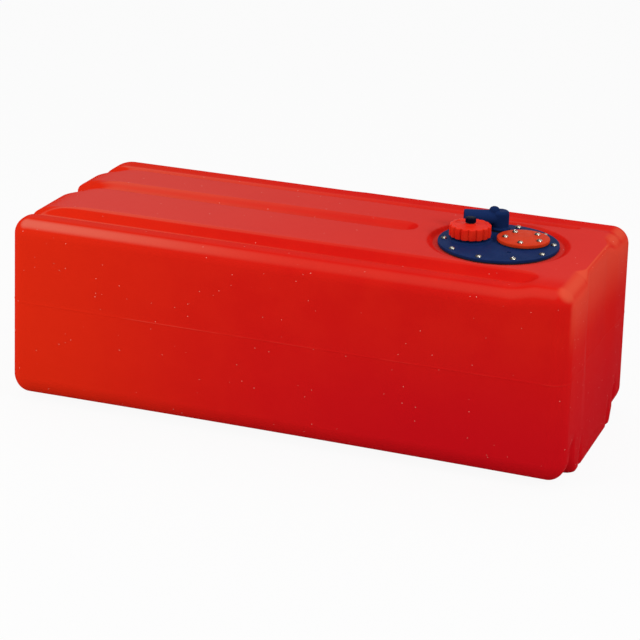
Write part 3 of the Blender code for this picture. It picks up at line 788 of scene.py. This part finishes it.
def make_shell():
    """The outer and inner skins, joined by a wall round the opening under the plate."""
    xs = near_ends(-half_length, half_length, corner_gaps, foot_gaps, middle_along)
    ys = near_ends(-half_depth, half_depth, corner_gaps, corner_gaps, middle_across)
    zs = near_ends(0.0, tank_height, foot_gaps, corner_gaps, middle_up)
    points, faces = grid_box(xs, ys, zs)
    outer = shell_surface(points, 0.0)
    inner = shell_surface(points, wall)
    top = points[:, 2] > tank_height - grid_slack
    inside = (plate_distance(outer[faces].mean(1)) < opening_radius) & top[faces].all(1)
    used = np.zeros(len(points), bool)
    used[faces[~inside].ravel()] = True
    rim = np.zeros(len(points), bool)
    rim[faces[inside].ravel()] = True
    rim &= used
    for skin in (outer, inner):
        away = skin[rim, :2] - (plate_x, plate_y)
        away *= opening_radius / np.linalg.norm(away, axis=1)[:, None]
        skin[rim, :2] = away + (plate_x, plate_y)
    edges = {}
    for face in faces[inside]:
        for a, b in zip(face, np.roll(face, -1)):
            edges[(int(a), int(b))] = True
    count = len(points)
    joined = list(faces[~inside])
    joined += [face[::-1] + count for face in faces[~inside]]
    joined += [(a, a + count, b + count, b) for a, b in edges if (b, a) not in edges]
    used = np.concatenate([used, used])
    renumber = np.cumsum(used) - 1
    mesh = bpy.data.meshes.new("tank_shell_moulded")
    both = np.concatenate([outer, inner])
    mesh.from_pydata(both[used].tolist(), [], [tuple(int(renumber[v]) for v in face) for face in joined])
    finish_mesh(mesh, 50.0)
    add_piece("tank_shell_moulded", mesh, red_shell, "tank", ("tank_shell",))


# Screws: pan heads with a cross recess


def screw_mesh(name, length):
    outline = [(0.0, screw_head_height, 0)]
    outline += [(r, z, 0) for r, z in screw_dome]
    outline += [(screw_head_radius, screw_rim_height, screw_rim_fillet), (screw_head_radius, 0.0, 0)]
    outline += [(screw_radius, 0.0, 0), (screw_radius, screw_tip_length - length, 0)]
    outline += [(screw_tip_radius, -length, 0), (0.0, -length, 0)]
    head = turned_object(name + "_blank", rounded(outline), 40)
    cross_low = screw_head_height - cross_depth
    steps = []
    for i in range(2):
        shape = bmesh.new()
        bmesh.ops.create_cube(shape, size=1.0)
        for vertex in shape.verts:
            x, y, z = vertex.co
            taper = 1.0 if z > 0 else cross_taper
            vertex.co = (x * cross_length * taper, y * cross_width, cross_low + (z + 0.5) * cross_cut_height)
        bmesh.ops.transform(shape, matrix=Matrix.Rotation(i * math.pi / 2, 4, "Z"), verts=shape.verts)
        mesh = bpy.data.meshes.new(f"{name}_slot_{i}")
        shape.to_mesh(mesh)
        shape.free()
        steps.append((plain_object(f"{name}_slot_{i}", mesh), "DIFFERENCE"))
    mesh = finish_mesh(combine(name, head, steps), 30.0)
    mesh.materials.append(steel)
    mesh.materials.append(recess_painted_shade)
    # Faces sunk in the cross recess get the painted shade
    rim_reach, rim_z = screw_dome[-1]
    for face in mesh.polygons:
        away = math.hypot(face.center.x, face.center.y)
        dome_z = mix(screw_head_height, rim_z, (away / rim_reach) ** 2)
        sunk = 0.0 < face.center.z < dome_z - shade_margin
        face.material_index = int(sunk and away < shade_reach)
    return mesh


def make_plate_screws():
    mesh = screw_mesh("plate_screw_cross", plate_screw_length)
    for i in range(plate_screw_count):
        a = math.radians(plate_screw_start_deg + 360 / plate_screw_count * i)
        x = plate_x + plate_screw_circle * math.cos(a)
        y = plate_y + plate_screw_circle * math.sin(a)
        turn = math.radians((plate_slot_deg + plate_slot_step_deg * i) % 180)
        name = f"plate_screw_{i + 1:02d}"
        spot = (x, y, plate_top_z + touch_gap)
        add_piece(name + "_cross", mesh, steel, "tank", (name,), spot, turn)


def make_sender_screws():
    mesh = screw_mesh("sender_screw_cross", sender_screw_length)
    for i, angle in enumerate(sender_screw_deg):
        a = math.radians(angle)
        x = sender_x + sender_screw_circle * math.cos(a)
        y = sender_y + sender_screw_circle * math.sin(a)
        turn = math.radians(sender_slot_deg + sender_slot_step_deg * i)
        name = f"sender_screw_{i + 1}"
        spot = (x, y, sender_top_z + touch_gap)
        add_piece(name + "_cross", mesh, steel, "tank", (name,), spot, turn)


# Fittings plate with its neck


def make_plate():
    outline = rounded([
        (0.0, plate_top_z, 0), (plate_radius, plate_top_z, plate_top_edge),
        (plate_radius, plate_bottom_z, plate_low_edge), (0.0, plate_bottom_z, 0),
    ])
    disc = turned_object("plate_blank", outline, 144, (plate_x, plate_y, 0.0))
    low, high = plate_bottom_z - overrun, plate_top_z + overrun
    mark_x, mark_y = plate_x + mark_dx, plate_y + mark_dy
    cuts = (
        cylinder_at("cut_filler", cap_x, cap_y, neck_seat_radius, low, high, 64),
        cylinder_at("cut_sender", sender_x, sender_y, sender_hole_radius, low, high),
        cylinder_at("cut_elbow", elbow_x, elbow_y, tail_hole_radius, low, high),
        cylinder_at("cut_mark", mark_x, mark_y, mark_radius, plate_top_z - mark_depth, high, 32),
    )
    mesh = finish_mesh(combine("top_plate_disc", disc, [(cut, "DIFFERENCE") for cut in cuts]), 30.0)
    add_piece("top_plate_disc", mesh, navy_plate, "tank", ("top_plate",))


def make_neck():
    low = plate_bottom_z - neck_drop
    top = plate_top_z + neck_height
    boss_z = plate_top_z + boss_height
    sunk_z = plate_top_z - boss_sink
    outline = rounded([
        (neck_bore_radius, low, 0), (neck_bore_radius, top, neck_inner_fillet),
        (neck_radius, top, neck_outer_fillet), (neck_radius, boss_z, boss_root_fillet),
        (boss_top_radius, boss_z, boss_edge_fillet), (boss_radius, sunk_z, 0),
        (neck_radius, sunk_z, 0), (neck_radius, low, neck_foot_fillet), (neck_bore_radius, low, 0),
    ])[:-1]
    mesh = lathe("filler_neck_ring", outline, 96, closed=True)
    add_piece("filler_neck_ring", mesh, navy_plate, "tank", (), (cap_x, cap_y, 0.0))


# Filler cap, vent knob, sender blank


def make_cap():
    """A lobed cap with a dished top round its hub."""
    top = cap_height
    hub_z = top + hub_height
    ceiling = top - cap_top_thickness
    outline = [(cap_stem_hole_radius, hub_z, 0), (hub_radius, hub_z, hub_fillet)]
    outline += [(r, top + rise, fillet) for r, rise, fillet in cap_dish]
    outline += [
        (cap_radius, top - cap_edge_drop, cap_edge_fillet), (cap_radius, cap_foot_rise, cap_foot_rise),
        (cap_foot_radius, 0.0, cap_foot_fillet), (cap_bore_radius, 0.0, cap_foot_fillet),
        (cap_bore_radius, ceiling, 2 * cap_foot_fillet), (cap_stem_hole_radius, ceiling, 0),
        (cap_stem_hole_radius, hub_z, 0),
    ]
    mesh = lathe(
        "filler_cap_lobed", rounded(outline)[:-1], 288, closed=True, lobes=16, lobe_depth=cap_lobe_depth,
        lobe_from=cap_lobe_from, lobe_power=1.5, lobe_high=cap_lobe_high, angle_deg=34.0,
    )
    spot = (cap_x, cap_y, cap_base_z)
    add_piece("filler_cap_lobed", mesh, red_cap, "cap", ("filler_cap",), spot)


def make_knob():
    low = cap_height + hub_height + knob_gap
    high = low + knob_height
    outline = rounded([
        (0.0, high - knob_hollow, 0), (knob_stem_radius, high - knob_ring_drop, 0),
        (knob_radius, high - knob_edge_drop, knob_edge_fillet), (knob_radius, low, knob_low_fillet),
        (knob_stem_radius, low, 0), (knob_stem_radius, knob_foot_high, 0),
        (knob_foot_radius, knob_foot_high, 0), (knob_foot_radius, knob_foot_low, 0), (0.0, knob_foot_low, 0),
    ], 5)
    mesh = lathe(
        "vent_knob_lobed", outline, 160, lobes=8, lobe_depth=knob_lobe_depth, lobe_from=knob_lobe_from,
        lobe_power=1.6,
    )
    spot = (cap_x, cap_y, cap_base_z)
    add_piece("vent_knob_lobed", mesh, navy_knob, "vent", ("vent_knob",), spot)


def make_sender():
    low = sender_top_z - sender_thickness
    outline = rounded([
        (0.0, sender_top_z, 0), (sender_radius, sender_top_z, sender_top_fillet),
        (sender_radius, low, sender_low_fillet), (0.0, low, 0),
    ])
    mesh = lathe("sender_blank_disc", outline, 128)
    spot = (sender_x, sender_y, 0.0)
    add_piece("sender_blank_disc", mesh, red_blank, "tank", ("sender_blank",), spot)


# Vent elbow: a soft union of body, level tube and dome, with its bore


def make_elbow():
    axis_z = elbow_seat_z + tube_height
    turn = math.radians(elbow_turn_deg)
    level = (0.0, math.pi / 2, turn)
    body = rounded([
        (0.0, elbow_height, 0), (elbow_radius, elbow_height, elbow_shoulder),
        (elbow_radius, collar_height + collar_rise, collar_root_fillet),
        (collar_radius - collar_slant, collar_height, collar_edge_fillet), (collar_radius, 0.0, 0),
        (tail_radius, 0.0, 0), (tail_radius, -tail_drop, 0), (0.0, -tail_drop, 0),
    ], 6)
    base = turned_object("elbow_body", body, 72, (elbow_x, elbow_y, elbow_seat_z))
    tube = rounded([
        (0.0, tube_length, 0), (tube_radius, tube_length, tube_fillet), (tube_radius, 0.0, 0), (0.0, 0.0, 0),
    ])
    dome = [(0.0, dome_height)]
    for a in np.linspace(dome_first_angle, math.pi / 2, 8):
        dome.append((dome_radius * math.sin(a), dome_height * math.cos(a)))
    dome += [(dome_radius, -dome_foot), (0.0, -dome_foot)]
    dome_x = elbow_x + dome_offset * math.cos(turn)
    dome_y = elbow_y + dome_offset * math.sin(turn)
    solid = plain_object("elbow_solid", combine("elbow_solid", base, [
        (turned_object("elbow_tube", tube, 72, (elbow_x, elbow_y, axis_z), level), "UNION"),
        (turned_object("elbow_dome", dome, 48, (dome_x, dome_y, elbow_seat_z + elbow_height)), "UNION"),
    ]))
    blend = solid.modifiers.new("blend", "REMESH")
    blend.mode = "VOXEL"
    blend.voxel_size = elbow_voxel
    soften = solid.modifiers.new("soften", "SMOOTH")
    soften.factor = 0.5
    soften.iterations = 7
    bore = [(0.0, elbow_bore_length), (elbow_bore_radius, elbow_bore_length)]
    bore += [(elbow_bore_radius, 0.0), (0.0, 0.0)]
    low, high = elbow_seat_z - down_bore_drop, axis_z + down_bore_rise
    mesh = finish_mesh(combine("vent_elbow_moulded", solid, [
        (cylinder_at("elbow_down_bore", elbow_x, elbow_y, elbow_bore_radius, low, high), "DIFFERENCE"),
        (turned_object("elbow_bore", bore, 72, (elbow_x, elbow_y, axis_z), level), "DIFFERENCE"),
    ]), 40.0)
    add_piece("vent_elbow_moulded", mesh, navy_plate, "tank", ("vent_elbow",))


# Pieces whose CAD mesh is shown as it is


def dress_hidden_pieces():
    looks = {"backing_ring": aluminium}
    for name in ("plate_gasket", "cap_seal_ring", "vent_seal", "elbow_seal", "sender_gasket"):
        looks[name] = rubber
    for name, look in looks.items():
        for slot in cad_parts[name].material_slots:
            slot.material = look


# Floor, world, light and camera

floor_half = 14.0
floor_z = -0.0002
floor_gray = 0.62
floor_white_share = 0.93
sky_direction = (-0.45, 0.25, 0.86)
sky_ramp = (-0.9, 0.9, 0.22, 0.74)
white = (1.0, 1.0, 1.0)
# Each lamp: its place, what it points at, its size, power and colour
lamps = {
    "key_front_left": ((-1.3, -1.6, 1.0), (-0.2, 0.0, 0.15), (1.0, 0.9), 18.5, (1.0, 0.99, 0.96)),
    "side_right": ((2.0, -0.7, 1.4), (0.4, 0.0, 0.22), (0.6, 0.6), 19.0, white),
    "overhead": ((0.1, 0.3, 2.6), (0.0, 0.0, 0.2), (2.4, 1.6), 11.5, white),
}
# The rows of the camera that was fitted to the photograph
camera_lens = 128.4987
camera_rows = (
    (0.93678420, -0.14439756, 0.31872355, 1.12005),
    (0.34870422, 0.30977581, -0.88455882, -3.10821),
    (0.02899529, 0.93978098, 0.34054513, 1.33170),
    (0.0, 0.0, 0.0, 1.0),
)


def make_floor():
    """A grey floor that takes the shadow and is white to the camera and in reflections."""
    corners = [(x * floor_half, y * floor_half, 0) for x, y in ((-1, -1), (1, -1), (1, 1), (-1, 1))]
    mesh = bpy.data.meshes.new("studio_floor")
    mesh.from_pydata(corners, [], [(0, 1, 2, 3)])
    floor = plain_object("studio_floor", mesh, (0.0, 0.0, floor_z))
    look = bpy.data.materials.new("white_floor")
    look.use_nodes = True
    tree = look.node_tree
    tree.nodes.clear()
    output = node(tree, "ShaderNodeOutputMaterial")
    matte = node(tree, "ShaderNodeBsdfDiffuse", Color=(floor_gray, floor_gray, floor_gray, 1.0))
    glow = node(tree, "ShaderNodeEmission", Color=(*white, 1.0), Strength=1.0)
    path = node(tree, "ShaderNodeLightPath").outputs
    seen = math_node(tree, "MAXIMUM", path["Is Camera Ray"], path["Is Glossy Ray"])
    seen = math_node(tree, "MAXIMUM", seen, path["Is Transmission Ray"])
    blend = node(tree, "ShaderNodeMixShader")
    tree.links.new(math_node(tree, "MULTIPLY", seen, floor_white_share), blend.inputs[0])
    tree.links.new(matte.outputs[0], blend.inputs[1])
    tree.links.new(glow.outputs[0], blend.inputs[2])
    tree.links.new(blend.outputs[0], output.inputs["Surface"])
    mesh.materials.append(look)


def make_world():
    """A white sky that is brighter above the left end."""
    world = bpy.data.worlds.new("studio")
    scene.world = world
    world.use_nodes = True
    tree = world.node_tree
    tree.nodes.clear()
    output = node(tree, "ShaderNodeOutputWorld")
    towards = node(tree, "ShaderNodeVectorMath", operation="DOT_PRODUCT")
    tree.links.new(node(tree, "ShaderNodeTexCoord").outputs["Generated"], towards.inputs[0])
    towards.inputs[1].default_value = sky_direction
    light = node(tree, "ShaderNodeBackground", Color=(*white, 1.0))
    tree.links.new(ramp(tree, towards.outputs["Value"], *sky_ramp), light.inputs["Strength"])
    tree.links.new(light.outputs[0], output.inputs["Surface"])


def area_light(name, spot, target, size, power, color):
    lamp = bpy.data.lights.new(name, "AREA")
    lamp.shape = "RECTANGLE"
    lamp.size, lamp.size_y = size
    lamp.energy = power
    lamp.color = color
    thing = plain_object(name, lamp, spot)
    thing.rotation_euler = (Vector(spot) - Vector(target)).to_track_quat("Z", "Y").to_euler()


def make_camera():
    data = bpy.data.cameras.new("photo_camera")
    data.sensor_width = 36.0
    data.lens = camera_lens
    camera = plain_object("photo_camera", data)
    camera.matrix_world = Matrix(camera_rows)
    return camera


make_shell()
make_plate_screws()
make_sender_screws()
make_plate()
make_neck()
make_cap()
make_knob()
make_sender()
make_elbow()
dress_hidden_pieces()
make_floor()
make_world()
for lamp_name, values in lamps.items():
    area_light(lamp_name, *values)
scene.camera = make_camera()
scene.view_settings.view_transform = "Standard"

bpy.context.view_layer.update()
